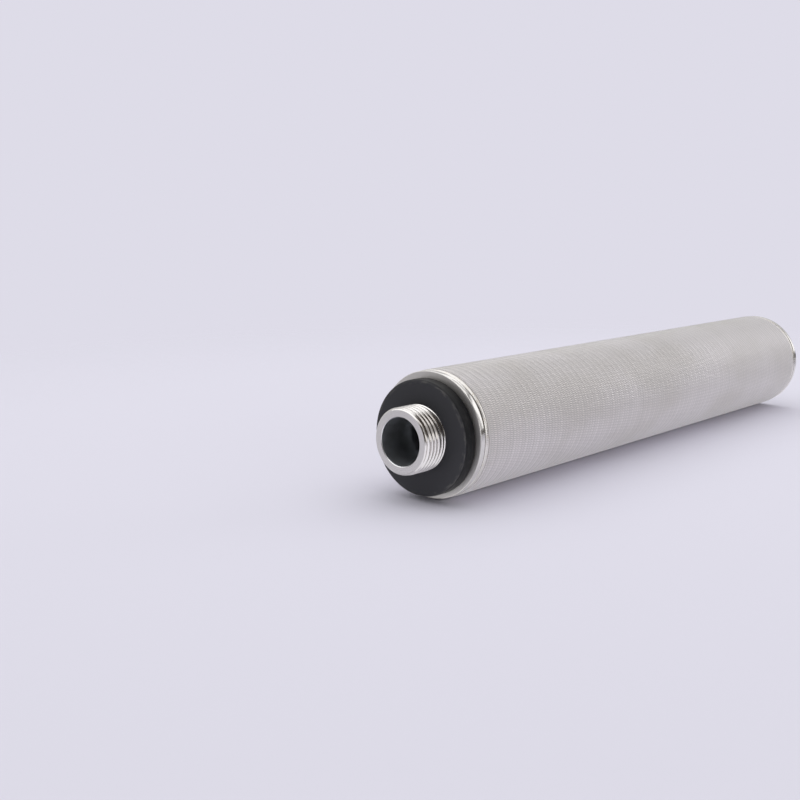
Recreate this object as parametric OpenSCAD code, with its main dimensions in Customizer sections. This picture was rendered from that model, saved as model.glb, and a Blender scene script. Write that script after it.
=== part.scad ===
// Sintered filter element.
// A tube of bonded wire mesh is welded between a threaded outlet cap and a plain blind cap.
// A loose rubber gasket seals the outlet cap against the housing that it screws into.
// The element lies along X. The origin is on its axis, where the thread ends at the gasket.

/* [Mesh tube] */
// Outside diameter of the mesh tube
tube_d = 52.5; // [44:0.5:90]
// Thickness of the bonded mesh wall
tube_wall = 2; // [1:0.1:4]
// Length of bare mesh between the two welds
tube_len = 294; // [80:1:1000]
// Width of the lengthwise seam weld
seam_w = 2.6; // [1.5:0.1:4]
// Height of the seam weld above the mesh
seam_rise = 0.25; // [0.1:0.05:0.5]
// Place of the seam round the tube, in degrees up from the rear
seam_angle = 25; // [0:1:60]

/* [Outlet spigot] */
// Major diameter of the outlet thread
thread_d = 27; // [20:0.5:33]
// Length of the spigot in front of the gasket
spigot_len = 11.5; // [6:0.5:30]
// Chamfer where the thread starts
lead_chamfer = 0.9; // [0.3:0.1:1.5]
// Diameter of the plain relief behind the thread
relief_d = 24; // [17:0.5:30]
// Diameter of the bore through the outlet
bore_d = 19.5; // [10:0.5:21]
// Chamfer at both mouths of the bore
bore_chamfer = 0.3; // [0.1:0.1:0.6]

/* [Gasket] */
// Outside diameter of the gasket
gasket_d = 47.2; // [36:0.2:50]
// Thickness of the gasket
gasket_t = 6.3; // [2:0.1:10]
// Radius of the gasket's moulded edges
gasket_edge = 1; // [0.3:0.1:1.9]

/* [End caps] */
// How far the caps' rims stay inside the outline of the mesh
cap_step = 0.25; // [0:0.05:1]
// Width of the turned rim
rim_w = 2.5; // [1.5:0.1:5]
// Radius of the rim's outer edge
rim_edge = 0.4; // [0.1:0.1:1]
// Width of the groove between the rim and the weld
groove_w = 0.5; // [0.3:0.1:1]
// Depth of that groove
groove_depth = 0.6; // [0.3:0.1:1]
// Width of the weld bead round each end
bead_w = 2.1; // [1.5:0.1:3]
// Height of the weld bead above the rim
bead_rise = 0.2; // [0.05:0.05:0.4]
// Length of the shoulder that locates a cap in the tube
shoulder_len = 5; // [2:0.5:20]
// Chamfer on the shoulder's inner end
shoulder_chamfer = 0.6; // [0.2:0.1:1.2]

/* [Fits] */
// Radial gap between a cap's shoulder and the tube
shoulder_gap = 0.1; // [0.02:0.01:0.3]
// Radial play of the gasket on the relief
gasket_play = 0.4; // [0.2:0.05:1.2]
// Gap that stays where the loose gasket bears
touch_gap = 0.05; // [0.02:0.01:0.15]

/* [Hidden] */
$fn = 128;

tube_r = tube_d / 2;
tube_bore_r = tube_r - tube_wall;
cap_r = tube_r - cap_step;
shoulder_r = tube_bore_r - shoulder_gap;
thread_r = thread_d / 2;
relief_r = relief_d / 2;
bore_r = bore_d / 2;
gasket_r = gasket_d / 2;
gasket_hole_r = relief_r + gasket_play;

// Depth of a cap from its outer face to the end of the mesh, and to the end of its shoulder
band_w = rim_w + groove_w + bead_w;
cap_depth = band_w + shoulder_len;

// Stations along the axis
spigot_x = -spigot_len;
outlet_x = touch_gap + gasket_t;
tube_x = outlet_x + band_w;
blind_x = tube_x + tube_len + band_w;

// A loose gasket hangs on the top of the relief
gasket_drop = gasket_play - touch_gap;

// How far a cut runs past the face that it opens
overcut = 1;

// Radius of a circle from the width and the height of the cap cut off it
function segment_r(width, height) = (width * width / 4 + height * height) / (2 * height);

bead_height = groove_depth + bead_rise;
bead_r = segment_r(bead_w, bead_height);
seam_r = segment_r(seam_w, seam_rise);

// Turns a profile about X. The profile's first value is a radius, its second a place along X.
module turned() {
    rotate([0, 90, 0])
        rotate_extrude()
            children();
}

// Rectangle between two radii and two places along the axis
module section(r_in, r_out, from, to) {
    translate([r_in, from])
        square([r_out - r_in, to - from]);
}

// Triangle that breaks a corner at 45 degrees
module corner_cut(r, x, size) {
    translate([r, x])
        rotate(45)
            square(size * sqrt(2), center = true);
}

// Section whose outer corners are rounded, at its front and, if asked, at its back
module rounded_section(r_in, r_out, from, to, edge, both) {
    back_edge = both ? edge : 0;
    section(r_in, r_out - edge, from, to);
    section(r_in, r_out, from + edge, to - back_edge);
    translate([r_out - edge, from + edge])
        circle(r = edge);
    if (both)
        translate([r_out - edge, to - edge])
            circle(r = edge);
}

// Rounded crest of the weld that joins a cap to the mesh
module bead_section() {
    intersection() {
        translate([cap_r + bead_rise - bead_r, band_w - bead_w / 2])
            circle(r = bead_r);
        section(shoulder_r, cap_r + bead_height, band_w - bead_w, band_w);
    }
}

// Half section of a cap, from its outer face at 0 inwards
module cap_section() {
    difference() {
        union() {
            rounded_section(0, cap_r, 0, rim_w, rim_edge, false);
            section(0, cap_r - groove_depth, 0, band_w);
            bead_section();
            section(0, shoulder_r, 0, cap_depth);
        }
        corner_cut(shoulder_r, cap_depth, shoulder_chamfer);
    }
}

// Half section of the spigot: the thread at its major diameter and the relief behind it
module spigot_section() {
    difference() {
        section(0, thread_r, spigot_x, 0);
        corner_cut(thread_r, spigot_x, lead_chamfer);
    }
    section(0, relief_r, 0, outlet_x + rim_w);
}

// Half section of everything that the outlet's bore takes away
module bore_section() {
    section(0, bore_r, spigot_x - overcut, outlet_x + cap_depth + overcut);
    corner_cut(bore_r, spigot_x, bore_chamfer);
    corner_cut(bore_r, outlet_x + cap_depth, bore_chamfer);
}

// Cross-section of the tube, with the seam standing out of its outline
module tube_section() {
    difference() {
        union() {
            circle(r = tube_r);
            rotate(90 + seam_angle)
                translate([tube_r + seam_rise - seam_r, 0])
                    circle(r = seam_r);
        }
        circle(r = tube_bore_r);
    }
}

module filter_tube() {
    color([0.72, 0.71, 0.70])
    translate([tube_x, 0, 0])
        rotate([0, 90, 0])
            linear_extrude(height = tube_len)
                tube_section();
}

module outlet_cap() {
    color([0.82, 0.81, 0.79])
    turned()
        difference() {
            union() {
                spigot_section();
                translate([0, outlet_x])
                    cap_section();
            }
            bore_section();
        }
}

module gasket() {
    color([0.07, 0.07, 0.08])
    translate([0, 0, -gasket_drop])
        turned()
            rounded_section(gasket_hole_r, gasket_r, touch_gap, outlet_x, gasket_edge, true);
}

module blind_cap() {
    color([0.82, 0.81, 0.79])
    translate([blind_x, 0, 0])
        mirror([1, 0, 0])
            turned()
                cap_section();
}

filter_tube();
outlet_cap();
gasket();
blind_cap();
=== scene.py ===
"""Looks of a sintered filter element, built around its CAD frame.

A tube of bonded wire cloth is welded between a threaded outlet cap and a plain blind cap.
A loose rubber gasket sits behind the thread. The axis is X, and the element lies on its side.
"""

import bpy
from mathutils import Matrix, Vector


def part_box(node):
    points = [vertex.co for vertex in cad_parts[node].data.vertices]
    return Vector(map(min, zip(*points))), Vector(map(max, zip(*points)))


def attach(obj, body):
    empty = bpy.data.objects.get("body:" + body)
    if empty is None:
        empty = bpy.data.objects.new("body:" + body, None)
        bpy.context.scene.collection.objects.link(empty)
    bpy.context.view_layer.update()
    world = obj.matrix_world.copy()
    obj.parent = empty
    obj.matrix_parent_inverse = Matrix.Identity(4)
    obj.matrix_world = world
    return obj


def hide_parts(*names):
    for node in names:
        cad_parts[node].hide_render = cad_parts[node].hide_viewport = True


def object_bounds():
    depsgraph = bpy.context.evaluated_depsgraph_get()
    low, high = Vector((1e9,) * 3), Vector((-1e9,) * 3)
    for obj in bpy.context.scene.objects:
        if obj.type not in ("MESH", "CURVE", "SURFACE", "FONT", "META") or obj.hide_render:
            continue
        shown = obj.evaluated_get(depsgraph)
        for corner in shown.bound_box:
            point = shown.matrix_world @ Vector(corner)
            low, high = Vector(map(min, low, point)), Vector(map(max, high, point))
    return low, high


bl_info = {
    "name": "Sintered Filter Element",
    "version": (1, 0, 0),
    "blender": (4, 5, 0),
    "location": "View3D > Sidebar > Filter Element",
    "description": "Woven tube, turned caps, welds and gasket of a filter element, and its studio",
    "category": "Add Mesh",
}

import math

import bmesh
import bpy
from bpy.props import FloatProperty, FloatVectorProperty, IntProperty, PointerProperty
from mathutils import Euler, Vector

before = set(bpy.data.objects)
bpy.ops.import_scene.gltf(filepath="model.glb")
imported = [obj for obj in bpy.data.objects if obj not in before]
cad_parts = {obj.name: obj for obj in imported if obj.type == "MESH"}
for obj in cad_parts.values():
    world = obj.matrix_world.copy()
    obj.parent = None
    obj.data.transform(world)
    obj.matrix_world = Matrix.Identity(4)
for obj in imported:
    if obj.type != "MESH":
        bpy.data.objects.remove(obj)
CAD_LOW, CAD_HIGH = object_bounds()
TUBE_LOW, TUBE_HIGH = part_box("filter_tube")
OUTLET_LOW, OUTLET_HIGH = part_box("outlet_cap")
GASKET_LOW, GASKET_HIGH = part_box("gasket")
BLIND_LOW, BLIND_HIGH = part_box("blind_cap")
MIDDLE = (CAD_LOW + CAD_HIGH) / 2
GASKET_MIDDLE = (GASKET_LOW + GASKET_HIGH) / 2
TUBE_LENGTH = TUBE_HIGH.x - TUBE_LOW.x

BODY = "root"
MESH_SLOT = "sintered_mesh"
STEEL_SLOT = "turned_steel"
RUBBER_SLOT = "gasket_rubber"

MM = 0.001
TURN = 2 * math.pi
# Vertices closer than this are one vertex
WELD_GAP = 1e-6
# An edge sharper than this is drawn as a corner
CORNER = math.radians(32)
# The same on a woven or welded surface, whose own relief stays smooth
STEEP_CORNER = math.radians(70)
# Segments round every turned piece, shared so that their rings meet
SEGMENTS = 192
# Segments of a rounded edge
EDGE_STEPS = 6


# Properties


def length(name, description, default):
    """Size in metres that a user may change."""
    return FloatProperty(
        name=name,
        description=description,
        default=default,
        unit="LENGTH",
        precision=5,
    )


def colour(name, description, default):
    """Colour that a user may change."""
    return FloatVectorProperty(
        name=name,
        description=description,
        default=default,
        subtype="COLOR",
        min=0,
        max=1,
    )


def share(name, description, default):
    """Value from 0 to 1 that a user may change."""
    return FloatProperty(
        name=name,
        description=description,
        default=default,
        subtype="FACTOR",
        min=0,
        max=1,
    )


def slant(name, description, degrees):
    """Angle that a user may change."""
    return FloatProperty(
        name=name,
        description=description,
        default=math.radians(degrees),
        subtype="ANGLE",
    )


def radiance(name, description, default):
    """Brightness of a lamp that a user may change."""
    return FloatProperty(name=name, description=description, default=default, min=0)


class WovenTubeSettings(bpy.types.PropertyGroup):
    """Sizes and finish of the woven tube and its seam"""

    radius: length("Radius", "Outside radius over the knuckles", min(TUBE_HIGH.z, -TUBE_LOW.z))
    wall: length("Wall", "Thickness of the bonded wall", 2 * MM)
    rib_pitch: length("Rib pitch", "Distance along the tube between two warp wires", 2.117 * MM)
    wires: IntProperty(name="Wires", description="Lengthwise wires round the tube", default=416)
    knuckle: length("Knuckle height", "Height of a knuckle above the wires beside it", 0.2 * MM)
    seam_angle: slant("Seam angle", "Place of the lengthwise seam, up from the rear", 25)
    seam_width: length("Seam width", "Width of the lengthwise weld", 2.6 * MM)
    seam_rise: length("Seam rise", "Height of the lengthwise weld above the mesh", 0.22 * MM)
    pale: colour("Pale steel", "Colour of the knuckles", (0.709, 0.669, 0.68))
    dull: colour("Dull steel", "Colour of the duller patches", (0.583, 0.547, 0.522))
    # Painted shade: the colour that the hollows between the knuckles are darkened to
    hollow_shade: colour("Hollow", "Colour between the knuckles", (0.378, 0.362, 0.362))
    roughness: share("Roughness", "Mean roughness of the bonded mesh", 0.6)
    sheen: share("Sheen", "Sheen of the bonded mesh at low angles", 0.7)
    sheen_spread: share("Sheen spread", "Roughness of that sheen", 0.4)


class CapSettings(bpy.types.PropertyGroup):
    """Sizes and finish that both caps and their welds share"""

    radius: length("Radius", "Radius of the turned rim", 26.0 * MM)
    rim: length("Rim", "Width of the turned rim", 2.5 * MM)
    edge: length("Edge", "Radius of the rim's outer edge", 0.4 * MM)
    lip: length("Lip", "Radius of the rim's edge at the groove", 0.15 * MM)
    groove: length("Groove", "Width of the groove beside the weld", 0.5 * MM)
    groove_depth: length("Groove depth", "Depth of the groove beside the weld", 0.6 * MM)
    chamfer: length("Chamfer", "Chamfer at the end of the shoulder", 0.6 * MM)
    shoulder_gap: length("Shoulder gap", "Radial gap between the shoulder and the tube", 0.1 * MM)
    ripple: length("Weld ripple", "Height of the ripples on a weld", 0.04 * MM)
    ripple_pitch: length("Ripple pitch", "Distance between two ripples of a weld", 0.85 * MM)
    steel: colour("Turned steel", "Colour of the turned rims and faces", (0.57, 0.555, 0.538))
    # Cooler tint that the steel in the bore is given
    bore_tint: colour("Stain", "Colour of the steel in the bore", (0.56, 0.58, 0.6))
    weld: colour("Weld", "Colour of the weld metal", (0.57, 0.552, 0.528))
    roughness: share("Roughness", "Mean roughness of the turned steel", 0.15)


class OutletSettings(bpy.types.PropertyGroup):
    """Sizes and finish of the threaded spigot"""

    major: length("Major radius", "Radius over the thread's crests", 13.5 * MM)
    pitch: length("Pitch", "Pitch of the thread", 2 * MM)
    depth: length("Depth", "Depth of the thread", 1.227 * MM)
    lead: length("Lead chamfer", "Chamfer where the thread starts", 0.9 * MM)
    relief: length("Relief radius", "Radius of the plain relief behind the thread", 12 * MM)
    bore: length("Bore radius", "Radius of the bore", 9.75 * MM)
    bore_edge: length("Bore chamfer", "Chamfer at the mouths of the bore", 0.3 * MM)
    # Painted highlight: brighter copy of the turned steel, laid on the thread
    bright: colour("Bright steel", "Colour of the steel where the thread is cut", (0.72, 0.7, 0.68))


class GasketSettings(bpy.types.PropertyGroup):
    """Sizes and finish of the gasket"""

    radius: length("Radius", "Outside radius", (GASKET_HIGH.y - GASKET_LOW.y) / 2)
    hole: length("Hole radius", "Radius of the hole", 12.4 * MM)
    edge: length("Edge", "Radius of the moulded outer edges", 1 * MM)
    hole_edge: length("Hole edge", "Radius of the edges at the hole", 0.35 * MM)
    rubber: colour("Rubber", "Colour of the rubber's faces", (0.039, 0.0392, 0.0436))
    # Painted shade: near-black copy of the rubber for the gasket's outer side
    skin: colour("Skin", "Colour of the rubber's moulded side", (0.005, 0.005, 0.006))
    scuff: colour("Scuff", "Colour where the rubber is scuffed", (0.11, 0.105, 0.1))
    roughness: share("Roughness", "Mean roughness of the rubber", 0.45)
    gloss: share("Gloss", "Specular level of the rubber", 0.12)


class StudioSettings(bpy.types.PropertyGroup):
    """Floor, light and camera"""

    floor: colour("Floor", "Colour of the floor and the backdrop", (0.73, 0.716, 0.807))
    mirrored: colour("Mirrored", "Colour of the backdrop in reflections", (0.74, 0.735, 0.745))
    card: colour("Card", "Colour of the dark cards that reflections see", (0.1, 0.08, 0.065))
    ambient: share("Ambient", "Strength of the even light from all round", 0.43)
    key: radiance("Key", "Radiance of the softbox at the side", 1.1)
    front: radiance("Front", "Radiance of the softbox in front", 0.95)
    left: radiance("Left", "Radiance of the softbox behind, on the left", 1.25)
    top: radiance("Top", "Radiance of the softbox overhead", 0.95)
    low: radiance("Low", "Radiance of the reflector under the front of the tube", 0.3)
    near: radiance("Near", "Radiance of the reflector at the outlet", 0.13)
    under: radiance("Under", "Radiance of the reflector under the gasket", 0.55)
    lens: FloatProperty(name="Lens", description="Focal length", default=49.9, unit="CAMERA")
    camera: FloatVectorProperty(
        name="Camera",
        description="Place of the camera",
        default=(-0.32743, -0.27943, 0.08935),
        subtype="TRANSLATION",
        unit="LENGTH",
        precision=5,
    )
    heading: slant("Heading", "Way the camera looks, from +X towards +Y", 41.49)
    pitch: slant("Pitch", "Way the camera looks, up from level", -9.784)


class FilterElementSettings(bpy.types.PropertyGroup):
    """Everything that a user may change"""

    tube: PointerProperty(type=WovenTubeSettings)
    caps: PointerProperty(type=CapSettings)
    outlet: PointerProperty(type=OutletSettings)
    gasket: PointerProperty(type=GasketSettings)
    studio: PointerProperty(type=StudioSettings)


def settings():
    """The scene's own settings."""
    return bpy.context.scene.filter_element


# Stations that several pieces share


def rib_count():
    """Number of gaps between the warp wires along the tube."""
    return round(TUBE_LENGTH / settings().tube.rib_pitch)


def band_width():
    """Width of a cap outside the mesh: rim, groove and weld."""
    return TUBE_LOW.x - GASKET_HIGH.x


def shoulder_radius():
    """Radius of the shoulder that locates a cap in the tube."""
    tube = settings().tube
    return tube.radius - tube.wall - settings().caps.shoulder_gap


# Node graphs


class Signal:
    """Output of a node that Python's operators turn into Math nodes."""

    def __init__(self, graph, socket):
        self.graph = graph
        self.socket = socket

    def out(self, name):
        """Another output of the same node."""
        return Signal(self.graph, self.socket.node.outputs[name])

    def math(self, operation, *others):
        return self.graph.math(operation, self, *others)

    def __add__(self, other):
        return self.graph.math("ADD", self, other)

    def __radd__(self, other):
        return self.graph.math("ADD", other, self)

    def __sub__(self, other):
        return self.graph.math("SUBTRACT", self, other)

    def __rsub__(self, other):
        return self.graph.math("SUBTRACT", other, self)

    def __mul__(self, other):
        return self.graph.math("MULTIPLY", self, other)

    def __rmul__(self, other):
        return self.graph.math("MULTIPLY", other, self)

    def __truediv__(self, other):
        return self.graph.math("DIVIDE", self, other)

    def __rtruediv__(self, other):
        return self.graph.math("DIVIDE", other, self)

    def __mod__(self, other):
        return self.graph.math("FLOORED_MODULO", self, other)

    def __pow__(self, other):
        return self.graph.math("POWER", self, other)

    def __lt__(self, other):
        return self.graph.math("LESS_THAN", self, other)

    def __gt__(self, other):
        return self.graph.math("GREATER_THAN", self, other)

    def __abs__(self):
        return self.math("ABSOLUTE")

    def cos(self):
        return self.math("COSINE")

    def sin(self):
        return self.math("SINE")

    def floor(self):
        return self.math("FLOOR")

    def least(self, other):
        return self.math("MINIMUM", other)

    def most(self, other):
        return self.math("MAXIMUM", other)

    def clamped(self, low=0.0, high=1.0):
        return self.math("MAXIMUM", low).math("MINIMUM", high)

    def swing(self, amount):
        """Noise about one half, as a swing of that amount about nothing."""
        return (self - 0.5) * amount

    def step(self, low, high):
        """0 at low, 1 at high and a smooth change between. Low may be the larger."""
        options = {"interpolation_type": "SMOOTHSTEP"}
        sockets = {"Value": self, "From Min": low, "From Max": high}
        return self.graph.node("ShaderNodeMapRange", options, sockets)


class Graph:
    """Node tree that is written as expressions."""

    def __init__(self, tree):
        self.tree = tree

    def node(self, kind, options=None, sockets=None):
        """Adds a node of that type, sets its options, then fills its sockets.

        A socket goes by its identifier or its name, and takes a value or a link.
        """
        made = self.tree.nodes.new(kind)
        for option, value in (options or {}).items():
            setattr(made, option, value)
        by_name = {socket.name: socket for socket in reversed(made.inputs)}
        by_name.update({socket.identifier: socket for socket in made.inputs})
        for name, value in (sockets or {}).items():
            if isinstance(value, Signal):
                self.tree.links.new(value.socket, by_name[name])
            else:
                by_name[name].default_value = value
        shown = [socket for socket in made.outputs if socket.enabled]
        return Signal(self, shown[0]) if shown else None

    def math(self, operation, *values):
        sockets = dict(zip(("Value", "Value_001"), values))
        return self.node("ShaderNodeMath", {"operation": operation}, sockets)

    def distance(self, first, second):
        """Distance from the axis of a point with those two parts."""
        return (first * first + second * second).math("SQRT")

    def vector(self, x, y, z):
        return self.node("ShaderNodeCombineXYZ", {}, {"X": x, "Y": y, "Z": z})

    def stretched(self, vector, scale):
        """Vector whose parts are multiplied by those of a scale."""
        sockets = {"Vector": vector, "Vector_001": scale}
        return self.node("ShaderNodeVectorMath", {"operation": "MULTIPLY"}, sockets)

    def parts(self, vector):
        """The three parts of a vector."""
        x = self.node("ShaderNodeSeparateXYZ", {}, {"Vector": vector})
        return x, x.out("Y"), x.out("Z")

    def mix(self, factor, first, second):
        """Colour between two colours."""
        sockets = {"Factor_Float": factor, "A_Color": first, "B_Color": second}
        return self.node("ShaderNodeMix", {"data_type": "RGBA"}, sockets)

    def noise(self, vector, scale=1.0, detail=2.0, roughness=0.5):
        sockets = {"Vector": vector, "Scale": scale, "Detail": detail, "Roughness": roughness}
        return self.node("ShaderNodeTexNoise", {}, sockets)


def rgba(value):
    """Colour with its alpha."""
    return (*value, 1.0)


# Geometry trees

# Name of the map that holds each face's place in the unrolled surface
BAKE_MAP = "OFBake"
# Columns to one knuckle of the weave, and to one ripple of a weld
KNUCKLE_COLUMNS = 3
RIPPLE_COLUMNS = 4
# Span of a wave that is read at three columns, from 1 to -0.5
KNUCKLE_SPAN = 1.5
# Rows of the inner wall: one before the outside and three after it
INNER_ROWS = 4
# Rows to one turn of the thread, and after its last turn: its end and the step to the relief
THREAD_ROWS = 16
END_ROWS = 2
# Shares of the thread's pitch that are flat
CREST_FLAT = 1 / 8
ROOT_FLAT = 1 / 4
# Rows round the section of a weld, the power that fills its crown, and the bow of its ripples
WELD_ROWS = 14
WELD_POWER = 0.7
RIPPLE_BOW = 0.6


class Shape(Graph):
    """Geometry tree that lays a grid of rows and columns along a rule."""

    KINDS = {
        float: "NodeSocketFloat",
        int: "NodeSocketInt",
        bpy.types.Material: "NodeSocketMaterial",
    }

    def __init__(self, name):
        super().__init__(bpy.data.node_groups.new(name, "GeometryNodeTree"))
        interface = self.tree.interface
        interface.new_socket("Geometry", in_out="OUTPUT", socket_type="NodeSocketGeometry")
        self.inlet = self.tree.nodes.new("NodeGroupInput")

    def size(self, name, kind=float):
        """Named input of the tree."""
        self.tree.interface.new_socket(name, in_out="INPUT", socket_type=self.KINDS[kind])
        return Signal(self, self.inlet.outputs[name])

    def grid(self, rows, columns):
        """Grid with that many rows and columns of vertices, and each vertex's row and column."""
        mesh = self.node("GeometryNodeMeshGrid", {}, {"Vertices X": rows, "Vertices Y": columns})
        index = self.node("GeometryNodeInputIndex")
        row = ((index + 0.5) / columns).floor()
        return mesh, row, index - row * columns

    def close(self, mesh, place, flip=False):
        """Moves the vertices to their places, joins the edges that meet and ends the tree.

        Flip turns the faces of a grid whose rows and columns run the other way round.
        """
        material = self.size("Material", bpy.types.Material)
        corners = {"data_type": "FLOAT2", "domain": "CORNER"}
        unrolled = {"Geometry": mesh, "Name": BAKE_MAP, "Value": mesh.out("UV Map")}
        mapped = self.node("GeometryNodeStoreNamedAttribute", corners, unrolled)
        moved = self.node("GeometryNodeSetPosition", {}, {"Geometry": mapped, "Position": place})
        near = {"Geometry": moved, "Distance": WELD_GAP}
        merged = self.node("GeometryNodeMergeByDistance", {}, near)
        if flip:
            merged = self.node("GeometryNodeFlipFaces", {}, {"Mesh": merged})
        smooth = self.node("GeometryNodeSetShadeSmooth", {}, {"Geometry": merged})
        real = self.node("GeometryNodeRealizeInstances", {}, {"Geometry": smooth})
        coat = {"Geometry": real, "Material": material}
        finished = self.node("GeometryNodeSetMaterial", {}, coat)
        self.node("NodeGroupOutput", {}, {"Geometry": finished})
        return self.tree


def woven_tube_tree():
    """Tree of a tube whose outside is a plain weave, with one row of knuckles for each rib."""
    shape = Shape("woven_tube")
    radius = shape.size("Radius")
    wall = shape.size("Wall")
    start = shape.size("Start")
    run = shape.size("Length")
    ribs = shape.size("Ribs", int)
    wires = shape.size("Wires", int)
    knuckle = shape.size("Knuckle")

    # The first row and the last three are the inner wall, and the rest are the outside
    columns = wires / 2 * KNUCKLE_COLUMNS
    mesh, row, column = shape.grid(ribs + (1 + INNER_ROWS), columns + 1)
    rib = row - 1
    outside = abs(rib / ribs - 0.5) < 0.5 + 0.5 / ribs
    along = (rib / ribs).clamped() - (rib - ribs - 1).most(0) / 2

    # Over and under by turns: every other row is turned by half a knuckle, as in brickwork
    odd = outside * (rib % 2)
    wave = ((column - odd) * (TURN / KNUCKLE_COLUMNS)).cos()
    inner = radius - wall
    outer = radius - knuckle * (1 - wave) / KNUCKLE_SPAN
    reach = inner + outside * (outer - inner)
    angle = (column + odd / 2) / columns * TURN
    place = shape.vector(start + run * along, reach * angle.cos(), reach * angle.sin())
    return shape.close(mesh, place, flip=True)


def thread_tree():
    """Tree of an external thread, from the edge of the spigot's face to the relief behind it."""
    shape = Shape("outlet_thread")
    major = shape.size("Major")
    depth = shape.size("Depth")
    pitch = shape.size("Pitch")
    start = shape.size("Start")
    run = shape.size("Length")
    lead = shape.size("Lead")
    relief = shape.size("Relief")

    # The rows follow the helix. One turn more than the length needs covers both slanted ends.
    turns = (run / pitch).math("CEIL") + 1
    rows = turns * THREAD_ROWS + END_ROWS
    mesh, row, column = shape.grid(rows, SEGMENTS + 1)
    around = column / SEGMENTS
    along = ((row / THREAD_ROWS + around - 1) * pitch).most(0).least(run)

    # Straight flanks between a flat crest and a flat root
    phase = (along / pitch - around) % 1.0
    from_crest = abs(phase * 2 - 1)
    groove = ((from_crest - CREST_FLAT) / (1 - CREST_FLAT - ROOT_FLAT)).clamped()
    run_in = along.step(0.0, lead)
    run_out = (run - along).step(0.0, lead)
    cut = major - depth * groove * run_in * run_out
    reach = cut.least(major - lead + along)

    # The last row steps down to the relief
    last = row > rows - 1.5
    reach = reach + last * (relief - reach)
    angle = around * TURN
    place = shape.vector(start + along, reach * angle.cos(), reach * angle.sin())
    return shape.close(mesh, place)


def weld_section(shape, row, column):
    """Place across a weld and height above its foot, with ripples that bow along it."""
    width = shape.size("Width")
    rise = shape.size("Rise")
    sink = shape.size("Sink")
    ripple = shape.size("Ripple")
    angle = row * (TURN / WELD_ROWS)
    across = angle.cos()
    above = angle.sin()
    bow = (column / RIPPLE_COLUMNS - across * across * RIPPLE_BOW) * TURN
    crown = above.most(0)
    plain = crown ** WELD_POWER * rise + above.least(0) * sink
    height = plain + crown * ripple * (bow.cos() - 1) / 2
    return across * width / 2, height


def ring_weld_tree():
    """Tree of a weld bead that runs round the axis."""
    shape = Shape("ring_weld")
    foot = shape.size("Foot radius")
    middle = shape.size("Middle")
    ripples = shape.size("Ripples", int)
    columns = ripples * RIPPLE_COLUMNS
    mesh, row, column = shape.grid(WELD_ROWS + 1, columns + 1)
    across, height = weld_section(shape, row, column)
    angle = column / columns * TURN
    reach = foot + height
    place = shape.vector(middle + across, reach * angle.cos(), reach * angle.sin())
    return shape.close(mesh, place)


def seam_weld_tree():
    """Tree of a weld bead that runs along the tube, drawn to a point at both ends."""
    shape = Shape("seam_weld")
    foot = shape.size("Foot radius")
    start = shape.size("Start")
    run = shape.size("Length")
    turn = shape.size("Angle")
    ripples = shape.size("Ripples", int)
    columns = ripples * RIPPLE_COLUMNS
    mesh, row, column = shape.grid(WELD_ROWS + 1, columns + 1)
    across, height = weld_section(shape, row, column)
    along = column / columns
    taper = ((1 - abs(along * 2 - 1)) * ripples).clamped()
    sideways = across * taper
    reach = foot + height * taper
    y = reach * turn.cos() - sideways * turn.sin()
    z = reach * turn.sin() + sideways * turn.cos()
    return shape.close(mesh, shape.vector(start + run * along, y, z), flip=True)


def grown(name, tree, sizes):
    """New object with the mesh that a geometry tree makes from named sizes."""
    piece = bpy.data.objects.new(name, bpy.data.meshes.new(name))
    bpy.context.scene.collection.objects.link(piece)
    modifier = piece.modifiers.new(name, "NODES")
    modifier.node_group = tree
    for item in tree.interface.items_tree:
        if item.in_out == "INPUT":
            modifier[item.identifier] = sizes[item.name]
    evaluated = piece.evaluated_get(bpy.context.evaluated_depsgraph_get())
    mesh = bpy.data.meshes.new_from_object(evaluated)
    piece.modifiers.remove(modifier)
    mesh.set_sharp_from_angle(angle=STEEP_CORNER)
    piece.data = mesh
    mesh.name = name
    return piece


# Turned meshes


def arc(x, radius, size, first, last):
    """Points of a rounded edge about a centre, from one angle to another in degrees."""
    points = []
    for step in range(EDGE_STEPS + 1):
        angle = math.radians(first + (last - first) * step / EDGE_STEPS)
        points.append((x + size * math.cos(angle), radius + size * math.sin(angle)))
    return points


def turned(profile, closed, centre_z=0.0):
    """Mesh that a profile of places along the axis and radii sweeps out about X."""
    made = bmesh.new()
    rings = []
    for x, radius in profile:
        count = SEGMENTS if radius > WELD_GAP else 1
        angles = [TURN * i / SEGMENTS for i in range(count)]
        places = [(x, radius * math.cos(a), centre_z + radius * math.sin(a)) for a in angles]
        rings.append([made.verts.new(place) for place in places])
    pairs = list(zip(rings, rings[1:]))
    if closed:
        pairs.append((rings[-1], rings[0]))
    for first, second in pairs:
        for i in range(SEGMENTS):
            after = (i + 1) % SEGMENTS
            corners = [first[i % len(first)], first[after % len(first)]]
            corners += [second[after % len(second)], second[i % len(second)]]
            made.faces.new(dict.fromkeys(corners))
    return made


def as_piece(name, made, material):
    """New object from an edited mesh, closed, with its faces outwards and its corners sharp."""
    # A thread brings a map that the turned faces don't have
    for layer in list(made.loops.layers.uv):
        made.loops.layers.uv.remove(layer)
    bmesh.ops.remove_doubles(made, verts=made.verts, dist=WELD_GAP)
    bmesh.ops.recalc_face_normals(made, faces=made.faces)
    if not all(edge.is_manifold for edge in made.edges):
        raise RuntimeError(f"{name} isn't closed")
    mesh = bpy.data.meshes.new(name)
    made.to_mesh(mesh)
    made.free()
    mesh.shade_smooth()
    mesh.set_sharp_from_angle(angle=CORNER)
    mesh.materials.append(material)
    piece = bpy.data.objects.new(name, mesh)
    bpy.context.scene.collection.objects.link(piece)
    return piece


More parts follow.
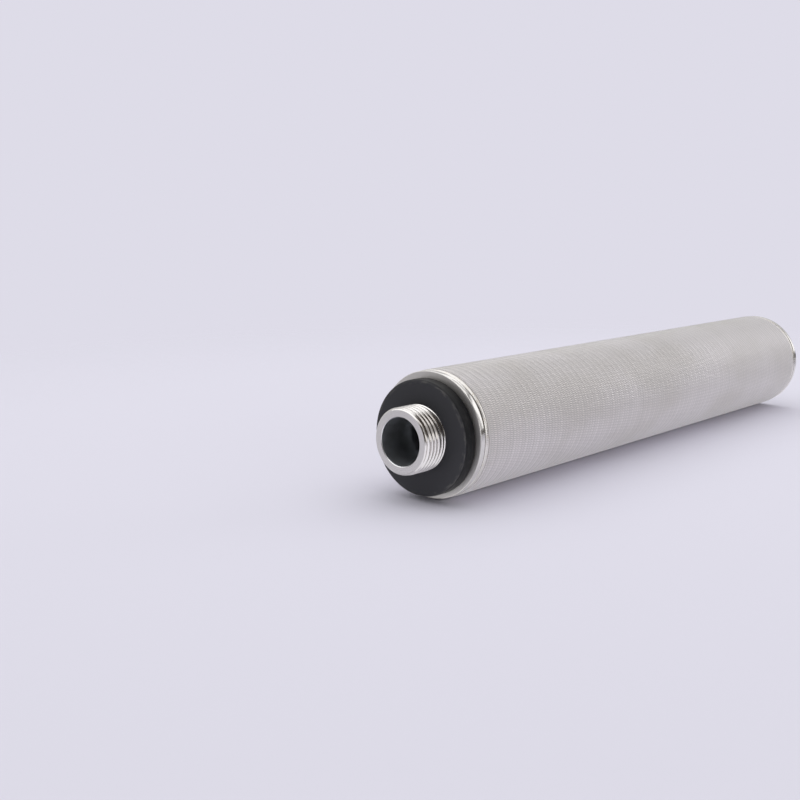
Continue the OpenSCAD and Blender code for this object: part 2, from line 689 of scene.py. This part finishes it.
def cap_profile(face_radius):
    """Half section of a cap, from its face at 0 to the end of its shoulder, as depths and radii."""
    caps = settings().caps
    band = band_width()
    depth = OUTLET_HIGH.x - GASKET_HIGH.x
    floor = caps.radius - caps.groove_depth
    inner = shoulder_radius()
    profile = [(0.0, face_radius)]
    profile += arc(caps.edge, caps.radius - caps.edge, caps.edge, 180, 90)
    profile += arc(caps.rim - caps.lip, caps.radius - caps.lip, caps.lip, 90, 0)
    profile += [(caps.rim, floor), (band, floor), (band, inner)]
    profile += [(depth - caps.chamfer, inner), (depth, inner - caps.chamfer)]
    return profile


def settle(piece, slot, *nodes):
    """Hands a finished piece to the frame."""
    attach(piece, BODY)
    if nodes:
        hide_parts(*nodes)
    return piece


# Materials

# Features of each noise to the metre, along X, Y and Z where they differ
MESH_PATCHES = (18.0, 34.0, 34.0)
MESH_BANDS = (700.0, 11.0, 11.0)
MESH_GRAIN = 4200.0
STEEL_FEED = 5200.0
STEEL_RINGS = 1100.0
STEEL_HAZE = 160.0
WELD_CLOUDS = 420.0
WELD_GRAIN = 2600.0
RUBBER_SMEARS = (60.0, 60.0, 140.0)
RUBBER_SCUFFS = 700.0
RUBBER_GRAIN = 2600.0
RUBBER_DUST = 1300.0
# Features of the scuffs round the gasket
SCUFFS_ROUND = 5.0

# Levels of the noise where each kind of mark starts and is full
PATCH_LEVELS = (0.38, 0.66)
STRAW_LEVELS = (0.5, 0.72)
SCUFF_LEVELS = (0.48, 0.66)
SMEAR_LEVELS = (0.55, 0.8)
DUST_LEVELS = (0.64, 0.76)

# Bonded mesh: levels of the weave's waves where a knuckle and a gap start and are full
KNUCKLE_LEVELS = (-0.3, 0.75)
GAP_LEVELS = (-0.2, -1.0)
# Bonded mesh: painted shade, as the share of light left in the hollows and the shade in the gaps,
# and swing from bands and grain
HOLLOW_LIGHT = 0.22
GAP_SHADE = 0.12
MESH_SWING = 0.35
# Bonded mesh: shares of the height that the bump follows
KNUCKLE_HEIGHT = 0.8
GAP_DEPTH = 0.3
GRAIN_HEIGHT = 0.45
# Bonded mesh: how metallic the hollows and the knuckles are, and what changes the roughness
HOLLOW_METAL = 0.2
KNUCKLE_METAL = 0.55
KNUCKLE_POLISH = 0.26
PATCH_ROUGHNESS = 0.06
GRAIN_ROUGHNESS = 0.12

# Polished steel: where a face and the thread's painted highlight fade out, and where the seat does
# past the gasket
FACE_FADE = 0.2 * MM
THREAD_FADE = 1.0 * MM
SEAT_FADE = (0.3 * MM, 0.1 * MM)
# Polished steel: roughness that use and turning add
BORE_WEAR = 0.28
SEAT_WEAR = 0.3
FACE_WEAR = 0.1
RING_ROUGHNESS = 0.3
FEED_ROUGHNESS = 0.16
HAZE_ROUGHNESS = 0.1
# Polished steel: largest share of the haze, and its tone against clean steel
HAZE_SHARE = 0.3
HAZE_TONE = 0.82

# Weld metal: tint of its straw-coloured clouds, their share, and what changes the roughness
STRAW_TINT = (0.9, 0.84, 0.74)
STRAW_SHARE = 0.6
WELD_WEAR = 0.08
CLOUD_ROUGHNESS = 0.2

# Moulded rubber: distances in from the outside where the side, darkened with painted shade, and the
# scuffed rim start and end
SIDE_INSETS = (0.5 * MM, 0.02 * MM)
RIM_INSETS = (2.2 * MM, 0.8 * MM)
# Moulded rubber: how far the side is free of the rim's scuffs, and shares of each kind of wear
SIDE_CLEAN = 0.85
SCUFF_SHARE = 0.6
SMEAR_SHARE = 0.12
DUST_SHARE = 0.1
# Moulded rubber: what changes the roughness
SMEAR_ROUGHNESS = 0.2
SCUFF_ROUGHNESS = 0.2
SKIN_ROUGHNESS = 0.1


def material_graph(name):
    """New material and the graph of its nodes, still empty."""
    made = bpy.data.materials.new(name)
    made.use_nodes = True
    made.node_tree.nodes.clear()
    return made, Graph(made.node_tree)


def surface(graph, sockets):
    """Ends a material in a Principled shader with those sockets."""
    shader = graph.node("ShaderNodeBsdfPrincipled", {}, sockets)
    graph.node("ShaderNodeOutputMaterial", {}, {"Surface": shader})


def object_place(graph):
    """The point in the piece's own frame, as a vector."""
    return graph.node("ShaderNodeTexCoord").out("Object")


def bump(graph, height, strength, depth):
    """Normal tilted by a height field. The depth is in metres."""
    sockets = {"Height": height, "Strength": strength, "Distance": depth}
    return graph.node("ShaderNodeBump", {}, sockets)


def bonded_mesh():
    """Wire cloth after bonding: bright rolled knuckles, hollows and gaps darkened with painted
    shade, faint bands and patches.
    """
    tube = settings().tube
    made, graph = material_graph("bonded_mesh")
    place = object_place(graph)
    x, y, z = graph.parts(place)
    angle = z.math("ARCTAN2", y)
    along = (x - TUBE_LOW.x) * (math.pi * rib_count() / TUBE_LENGTH)
    weave = (angle * (tube.wires / 2)).cos() * along.cos()
    crest = weave.step(*KNUCKLE_LEVELS)
    gap = (angle * tube.wires).cos().step(*GAP_LEVELS)

    patches = graph.noise(graph.stretched(place, MESH_PATCHES), detail=4.0)
    patches = patches.step(*PATCH_LEVELS)
    bands = graph.noise(graph.stretched(place, MESH_BANDS))
    grain = graph.noise(place, MESH_GRAIN)
    tone = graph.mix(patches, rgba(tube.pale), rgba(tube.dull))
    # Painted shade: the hollows fall towards the hollow colour and the gaps between the wires are
    # darkened
    lit = HOLLOW_LIGHT + crest * (1 - HOLLOW_LIGHT) - gap * GAP_SHADE
    lit = (lit + bands.swing(MESH_SWING) + grain.swing(MESH_SWING)).clamped()
    base = graph.mix(lit, rgba(tube.hollow_shade), tone)

    height = crest * KNUCKLE_HEIGHT - gap * GAP_DEPTH + grain * GRAIN_HEIGHT
    rough = tube.roughness - crest * KNUCKLE_POLISH
    rough = rough + patches.swing(PATCH_ROUGHNESS) + grain.swing(GRAIN_ROUGHNESS)
    finish = {
        "Base Color": base,
        "Roughness": rough,
        "Metallic": HOLLOW_METAL + crest * (KNUCKLE_METAL - HOLLOW_METAL),
        "Normal": bump(graph, height, strength=0.4, depth=0.06 * MM),
        "Sheen Weight": tube.sheen,
        "Sheen Roughness": tube.sheen_spread,
    }
    surface(graph, finish)
    return made


def polished_steel():
    """Turned and polished steel with fine feed marks round the axis.

    It is brightest on the thread, where a brighter copy of the steel is a painted highlight, and
    dull in the bore and round the gasket's seat.
    """
    caps = settings().caps
    outlet = settings().outlet
    made, graph = material_graph("polished_steel")
    place = object_place(graph)
    x, y, z = graph.parts(place)
    radius = graph.distance(y, z)
    feed = graph.noise(graph.vector(x * STEEL_FEED, radius * STEEL_FEED, 0.0), detail=3.0)
    rings = graph.noise(graph.vector(radius * STEEL_RINGS, 0.0, 0.0))
    haze = graph.noise(place, STEEL_HAZE, detail=3.0)

    hole = radius.step(outlet.bore + outlet.bore_edge, outlet.bore)
    bore = hole * x.step(TUBE_HIGH.x, TUBE_LOW.x)
    ends = x.step(CAD_LOW.x + FACE_FADE, CAD_LOW.x) + x.step(CAD_HIGH.x - FACE_FADE, CAD_HIGH.x)
    seat_end = x.step(*(GASKET_HIGH.x + fade for fade in SEAT_FADE))
    seat = seat_end * x.step(0.0, GASKET_HIGH.x)
    # Painted highlight: the thread gets the brighter copy of the steel, faded out at its ends and
    # the face
    cut = x.step(THREAD_FADE, 0.0) * (1 - ends).clamped()

    clean = graph.mix(cut, rgba(caps.steel), rgba(outlet.bright))
    hazy = graph.mix(haze * HAZE_SHARE, clean, rgba([HAZE_TONE * part for part in caps.steel]))
    steel = graph.mix(bore, hazy, rgba(caps.bore_tint))
    worn = bore * BORE_WEAR + seat * SEAT_WEAR + ends * (FACE_WEAR + rings.swing(RING_ROUGHNESS))
    rough = caps.roughness + worn + feed.swing(FEED_ROUGHNESS) + haze.swing(HAZE_ROUGHNESS)
    finish = {
        "Base Color": steel,
        "Roughness": rough.clamped(low=0.05),
        "Metallic": 1.0,
        "Normal": bump(graph, feed + ends * rings, strength=0.25, depth=0.01 * MM),
    }
    surface(graph, finish)
    return made


def weld_metal():
    """Bright weld metal, a little uneven in colour and gloss."""
    caps = settings().caps
    made, graph = material_graph("weld_metal")
    place = object_place(graph)
    clouds = graph.noise(place, WELD_CLOUDS, detail=3.0)
    grain = graph.noise(place, WELD_GRAIN, detail=3.0)
    straw = [part * tint for part, tint in zip(caps.weld, STRAW_TINT)]
    tinted = clouds.step(*STRAW_LEVELS) * STRAW_SHARE
    rough = caps.roughness + WELD_WEAR + clouds.swing(CLOUD_ROUGHNESS)
    finish = {
        "Base Color": graph.mix(tinted, rgba(caps.weld), rgba(straw)),
        "Roughness": rough.clamped(low=0.08),
        "Metallic": 1.0,
        "Normal": bump(graph, grain, strength=0.3, depth=0.03 * MM),
    }
    surface(graph, finish)
    return made


def moulded_rubber():
    """Black moulded rubber with a satin surface, scuffed along its edges and clean on its side,
    whose darkening is painted shade.
    """
    gasket = settings().gasket
    made, graph = material_graph("moulded_rubber")
    place = object_place(graph)
    x, y, z = graph.parts(place)
    lowered = z - GASKET_MIDDLE.z
    radius = graph.distance(y, lowered)
    # Painted shade: the outer side is darkened towards a near-black copy of the rubber
    side = radius.step(*(gasket.radius - inset for inset in SIDE_INSETS))
    rim = radius.step(*(gasket.radius - inset for inset in RIM_INSETS)) - side * SIDE_CLEAN

    turned_y = y / radius * SCUFFS_ROUND
    turned_z = lowered / radius * SCUFFS_ROUND
    round_edge = graph.vector(turned_y, turned_z, (radius + x) * RUBBER_SCUFFS)
    scuffs = graph.noise(round_edge, detail=4.0, roughness=0.65).step(*SCUFF_LEVELS)
    smears = graph.noise(graph.stretched(place, RUBBER_SMEARS), detail=3.0)
    grain = graph.noise(place, RUBBER_GRAIN, detail=3.0)
    dust = graph.noise(place, RUBBER_DUST).step(*DUST_LEVELS)
    worn = rim * scuffs * SCUFF_SHARE + smears.step(*SMEAR_LEVELS) * SMEAR_SHARE
    worn = (worn + dust * DUST_SHARE).clamped()

    clean = graph.mix(side, rgba(gasket.rubber), rgba(gasket.skin))
    rough = gasket.roughness + smears.swing(SMEAR_ROUGHNESS)
    rough = rough + worn * SCUFF_ROUGHNESS + grain.swing(SKIN_ROUGHNESS)
    finish = {
        "Base Color": graph.mix(worn, clean, rgba(gasket.scuff)),
        "Roughness": rough.clamped(low=0.1),
        "Specular IOR Level": gasket.gloss,
        "Normal": bump(graph, grain, strength=0.3, depth=0.04 * MM),
    }
    surface(graph, finish)
    return made


MATERIALS = {
    "bonded_mesh": bonded_mesh,
    "polished_steel": polished_steel,
    "weld_metal": weld_metal,
    "moulded_rubber": moulded_rubber,
}


def finish_of(name):
    """The material of that name, made when it is first asked for."""
    return bpy.data.materials.get(name) or MATERIALS[name]()


# Stage

# Radius and corners of the floor, and the shares of its radius where it starts and ends to fade
FLOOR_RADIUS = 1.4
FLOOR_SEGMENTS = 64
FLOOR_FADE = 0.2
FLOOR_END = 0.5
# Dark cards: distance, then first and last heading from +X towards +Y, and lowest and highest
# elevation, in degrees
CARDS = (
    (1.5, 150, 265, -1, 13),
    (1.5, 166, 265, 13, 42),
    (1.3, -60, 5, -1, 4),
    (1.3, -44, -10, 39, 42),
    (1.3, -8, 20, 37, 44),
)
CARD_STEPS = 24
# The frame's origin lies on the axis, where the thread ends
ORIGIN = Vector()
# Softboxes: name, setting of the radiance, size, point that they face, and place from that point
SOFTBOXES = (
    ("side_softbox", "key", (0.5, 0.6), MIDDLE, (0.8, -0.42, 0.36)),
    ("front_softbox", "front", (1.2, 0.4), MIDDLE, (-0.1, -1.0, 0.18)),
    ("left_softbox", "left", (0.95, 0.4), ORIGIN, (-0.77, 0.45, 0.8)),
    ("top_softbox", "top", (2.0, 2.0), MIDDLE, (0.1, 0.18, 1.0)),
)
# Reflectors that lie on the floor: name, setting of the radiance, size, and middle
REFLECTORS = (
    ("floor_reflector", "low", (0.8, 0.144), (MIDDLE.x - 0.1, -0.078)),
    ("outlet_reflector", "near", (0.21, 0.3), (CAD_LOW.x - 0.09, 0.03)),
    ("gasket_reflector", "under", (0.005, 0.05), (GASKET_MIDDLE.x, 0.0)),
)
# Gap between a reflector and the floor, small enough for it to reach under the element
REFLECTOR_GAP = 0.3 * MM
UP = Vector((0, 0, 1))


def stage_piece(name, made, material):
    """New object of the stage from an edited mesh."""
    mesh = bpy.data.meshes.new(name)
    made.to_mesh(mesh)
    made.free()
    mesh.materials.append(material)
    piece = bpy.data.objects.new(name, mesh)
    bpy.context.scene.collection.objects.link(piece)
    return piece


def set_floor():
    """Pale floor that the element lies on. It fades into the backdrop far from the element."""
    studio = settings().studio
    made, graph = material_graph("studio_floor")
    x, y, _ = graph.parts(object_place(graph))
    away = graph.distance(x, y) / FLOOR_RADIUS
    paper = graph.node("ShaderNodeBsdfDiffuse", {}, {"Color": rgba(studio.floor)})
    clear = graph.node("ShaderNodeBsdfTransparent")
    fade = {"Fac": away.step(FLOOR_FADE, FLOOR_END), "Shader": paper, "Shader_001": clear}
    faded = graph.node("ShaderNodeMixShader", {}, fade)
    graph.node("ShaderNodeOutputMaterial", {}, {"Surface": faded})
    disc = bmesh.new()
    bmesh.ops.create_circle(disc, cap_ends=True, segments=FLOOR_SEGMENTS, radius=FLOOR_RADIUS)
    stage_piece("studio_floor", disc, made).location = (MIDDLE.x, MIDDLE.y, CAD_LOW.z)


def set_cards():
    """Dark cards round the element that only reflections see, so that its steel shows its form."""
    made, graph = material_graph("studio_card")
    dark = graph.node("ShaderNodeBsdfDiffuse", {}, {"Color": rgba(settings().studio.card)})
    graph.node("ShaderNodeOutputMaterial", {}, {"Surface": dark})
    cards = bmesh.new()
    for away, first, last, low, high in CARDS:
        edges = [away * math.tan(math.radians(elevation)) for elevation in (low, high)]
        posts = []
        for step in range(CARD_STEPS + 1):
            heading = math.radians(first + (last - first) * step / CARD_STEPS)
            x, y = away * math.cos(heading), away * math.sin(heading)
            posts.append([cards.verts.new((x, y, z)) for z in edges])
        for left, right in zip(posts, posts[1:]):
            cards.faces.new((left[0], right[0], right[1], left[1]))
    piece = stage_piece("studio_cards", cards, made)
    piece.visible_camera = False
    piece.visible_diffuse = False
    piece.visible_transmission = False
    piece.visible_shadow = False


def set_world():
    """Even light from all round, seen as the backdrop by the camera and in reflections."""
    studio = settings().studio
    world = bpy.data.worlds.new("studio_world")
    world.use_nodes = True
    world.node_tree.nodes.clear()
    graph = Graph(world.node_tree)
    ray = graph.node("ShaderNodeLightPath")
    mirrored = (ray.out("Is Glossy Ray") + ray.out("Is Transmission Ray")).clamped()
    around = graph.mix(mirrored, rgba([studio.ambient] * 3), rgba(studio.mirrored))
    sky = graph.mix(ray.out("Is Camera Ray"), around, rgba(studio.floor))
    light = graph.node("ShaderNodeBackground", {}, {"Color": sky})
    graph.node("ShaderNodeOutputWorld", {}, {"Surface": light})
    bpy.context.scene.world = world


def area_light(name, strength, size, place, target):
    """Area light that faces a target, unseen by the camera. Its strength is a radiance."""
    lamp = bpy.data.lights.new(name, "AREA")
    lamp.shape = "RECTANGLE"
    lamp.size, lamp.size_y = size
    lamp.energy = strength * math.pi * lamp.size * lamp.size_y
    made = bpy.data.objects.new(name, lamp)
    made.location = place
    made.rotation_mode = "QUATERNION"
    made.rotation_quaternion = (target - place).to_track_quat("-Z", "Y")
    made.visible_camera = False
    bpy.context.scene.collection.objects.link(made)


def set_lights():
    """Large softboxes on both sides, in front and overhead, and reflectors on the floor."""
    studio = settings().studio
    for name, setting, size, target, offset in SOFTBOXES:
        area_light(name, getattr(studio, setting), size, target + Vector(offset), target)
    for name, setting, size, (x, y) in REFLECTORS:
        ground = Vector((x, y, CAD_LOW.z + REFLECTOR_GAP))
        area_light(name, getattr(studio, setting), size, ground, ground + UP)


def set_camera():
    """Camera at the photograph's place and angle, without roll."""
    studio = settings().studio
    view = bpy.data.cameras.new("camera")
    view.lens = studio.lens
    camera = bpy.data.objects.new("camera", view)
    camera.location = studio.camera
    camera.rotation_euler = Euler((math.pi / 2 + studio.pitch, 0, studio.heading - math.pi / 2))
    bpy.context.scene.collection.objects.link(camera)
    bpy.context.scene.camera = camera
    bpy.context.scene.view_settings.view_transform = "Standard"


# Operators


class FILTER_OT_woven_tube(bpy.types.Operator):
    """Weave the wall of the tube"""

    bl_idname = "filter_element.woven_tube"
    bl_label = "Woven Tube"

    def execute(self, context):
        tube = settings().tube
        sizes = {
            "Radius": tube.radius,
            "Wall": tube.wall,
            "Start": TUBE_LOW.x,
            "Length": TUBE_LENGTH,
            "Ribs": rib_count(),
            "Wires": tube.wires,
            "Knuckle": tube.knuckle,
            "Material": finish_of("bonded_mesh"),
        }
        settle(grown("woven_tube", woven_tube_tree(), sizes), MESH_SLOT, "filter_tube")
        return {"FINISHED"}


class FILTER_OT_seam_weld(bpy.types.Operator):
    """Lay the lengthwise weld that closes the tube"""

    bl_idname = "filter_element.seam_weld"
    bl_label = "Seam Weld"

    def execute(self, context):
        tube = settings().tube
        caps = settings().caps
        sizes = {
            "Foot radius": tube.radius - tube.knuckle,
            "Start": TUBE_LOW.x,
            "Length": TUBE_LENGTH,
            "Angle": tube.seam_angle,
            "Ripples": round(TUBE_LENGTH / caps.ripple_pitch),
            "Width": tube.seam_width,
            "Rise": tube.seam_rise + tube.knuckle,
            "Sink": tube.wall / 2,
            "Ripple": caps.ripple,
            "Material": finish_of("weld_metal"),
        }
        settle(grown("seam_weld", seam_weld_tree(), sizes), MESH_SLOT)
        return {"FINISHED"}


class FILTER_OT_ring_welds(bpy.types.Operator):
    """Lay the welds that join both caps to the tube"""

    bl_idname = "filter_element.ring_welds"
    bl_label = "Ring Welds"

    def execute(self, context):
        caps = settings().caps
        tree = ring_weld_tree()
        width = band_width() - caps.rim - caps.groove
        overlap = caps.groove / 2
        crest = (OUTLET_HIGH.z - OUTLET_LOW.z) / 2
        foot = caps.radius - caps.groove_depth
        sizes = {
            "Foot radius": foot,
            "Ripples": round(TURN * crest / caps.ripple_pitch),
            "Width": width + overlap,
            "Rise": crest - foot,
            "Sink": caps.groove_depth,
            "Ripple": caps.ripple,
            "Material": finish_of("weld_metal"),
        }
        inset = (width - overlap) / 2
        middles = {"outlet_weld": TUBE_LOW.x - inset, "blind_weld": TUBE_HIGH.x + inset}
        for name, middle in middles.items():
            settle(grown(name, tree, {**sizes, "Middle": middle}), STEEL_SLOT)
        return {"FINISHED"}


class FILTER_OT_outlet_cap(bpy.types.Operator):
    """Turn the outlet cap and cut its thread"""

    bl_idname = "filter_element.outlet_cap"
    bl_label = "Outlet Cap"

    def execute(self, context):
        outlet = settings().outlet
        face = OUTLET_LOW.x
        back = OUTLET_HIGH.x
        steel = finish_of("polished_steel")
        profile = [(0.0, outlet.relief)]
        profile += [(GASKET_HIGH.x + depth, radius) for depth, radius in cap_profile(outlet.relief)]
        profile += [(back, outlet.bore + outlet.bore_edge), (back - outlet.bore_edge, outlet.bore)]
        profile += [(face + outlet.bore_edge, outlet.bore), (face, outlet.bore + outlet.bore_edge)]
        profile += [(face, outlet.major - outlet.lead)]
        made = turned(profile, closed=False)

        sizes = {
            "Major": outlet.major,
            "Depth": outlet.depth,
            "Pitch": outlet.pitch,
            "Start": face,
            "Length": -face,
            "Lead": outlet.lead,
            "Relief": outlet.relief,
            "Material": steel,
        }
        thread = grown("outlet_thread", thread_tree(), sizes)
        made.from_mesh(thread.data)
        bpy.data.objects.remove(thread)
        settle(as_piece("outlet_cap_turned", made, steel), STEEL_SLOT, "outlet_cap")
        return {"FINISHED"}


class FILTER_OT_blind_cap(bpy.types.Operator):
    """Turn the cap that closes the other end"""

    bl_idname = "filter_element.blind_cap"
    bl_label = "Blind Cap"

    def execute(self, context):
        profile = [(BLIND_HIGH.x - depth, radius) for depth, radius in cap_profile(0.0)]
        profile.append((BLIND_LOW.x, 0.0))
        made = turned(profile, closed=False)
        piece = as_piece("blind_cap_turned", made, finish_of("polished_steel"))
        settle(piece, STEEL_SLOT, "blind_cap")
        return {"FINISHED"}


class FILTER_OT_gasket(bpy.types.Operator):
    """Mould the gasket, which hangs on the relief behind the thread"""

    bl_idname = "filter_element.gasket"
    bl_label = "Gasket"

    def execute(self, context):
        gasket = settings().gasket
        front = GASKET_LOW.x
        back = GASKET_HIGH.x
        edge = gasket.edge
        small = gasket.hole_edge
        profile = arc(front + edge, gasket.radius - edge, edge, 180, 90)
        profile += arc(back - edge, gasket.radius - edge, edge, 90, 0)
        profile += arc(back - small, gasket.hole + small, small, 0, -90)
        profile += arc(front + small, gasket.hole + small, small, -90, -180)
        made = turned(profile, closed=True, centre_z=GASKET_MIDDLE.z)
        piece = as_piece("gasket_moulded", made, finish_of("moulded_rubber"))
        settle(piece, RUBBER_SLOT, "gasket")
        return {"FINISHED"}


class FILTER_OT_studio(bpy.types.Operator):
    """Set the floor, the light and the camera"""

    bl_idname = "filter_element.studio"
    bl_label = "Studio"

    def execute(self, context):
        set_floor()
        set_cards()
        set_world()
        set_lights()
        set_camera()
        return {"FINISHED"}


# Panel and registration


class FILTER_PT_element(bpy.types.Panel):
    """Lists the pieces of the filter element in the sidebar"""

    bl_idname = "FILTER_PT_element"
    bl_label = "Filter Element"
    bl_space_type = "VIEW_3D"
    bl_region_type = "UI"
    bl_category = "Filter Element"

    def draw(self, context):
        for operator in OPERATORS:
            self.layout.operator(operator.bl_idname)
        groups = context.scene.filter_element
        for group in ("tube", "caps", "outlet", "gasket", "studio"):
            box = self.layout.box()
            for name in getattr(groups, group).bl_rna.properties.keys():
                if name not in ("rna_type", "name"):
                    box.prop(getattr(groups, group), name)


OPERATORS = (
    FILTER_OT_woven_tube,
    FILTER_OT_seam_weld,
    FILTER_OT_outlet_cap,
    FILTER_OT_blind_cap,
    FILTER_OT_ring_welds,
    FILTER_OT_gasket,
    FILTER_OT_studio,
)

CLASSES = (
    WovenTubeSettings,
    CapSettings,
    OutletSettings,
    GasketSettings,
    StudioSettings,
    FilterElementSettings,
    *OPERATORS,
    FILTER_PT_element,
)


def register():
    for cls in CLASSES:
        bpy.utils.register_class(cls)
    bpy.types.Scene.filter_element = PointerProperty(type=FilterElementSettings)


def unregister():
    del bpy.types.Scene.filter_element
    for cls in reversed(CLASSES):
        bpy.utils.unregister_class(cls)


def main():
    """Builds every piece and the studio."""
    register()
    bpy.ops.filter_element.woven_tube()
    bpy.ops.filter_element.seam_weld()
    bpy.ops.filter_element.outlet_cap()
    bpy.ops.filter_element.blind_cap()
    bpy.ops.filter_element.ring_welds()
    bpy.ops.filter_element.gasket()
    bpy.ops.filter_element.studio()


if __name__ == "__main__":
    main()
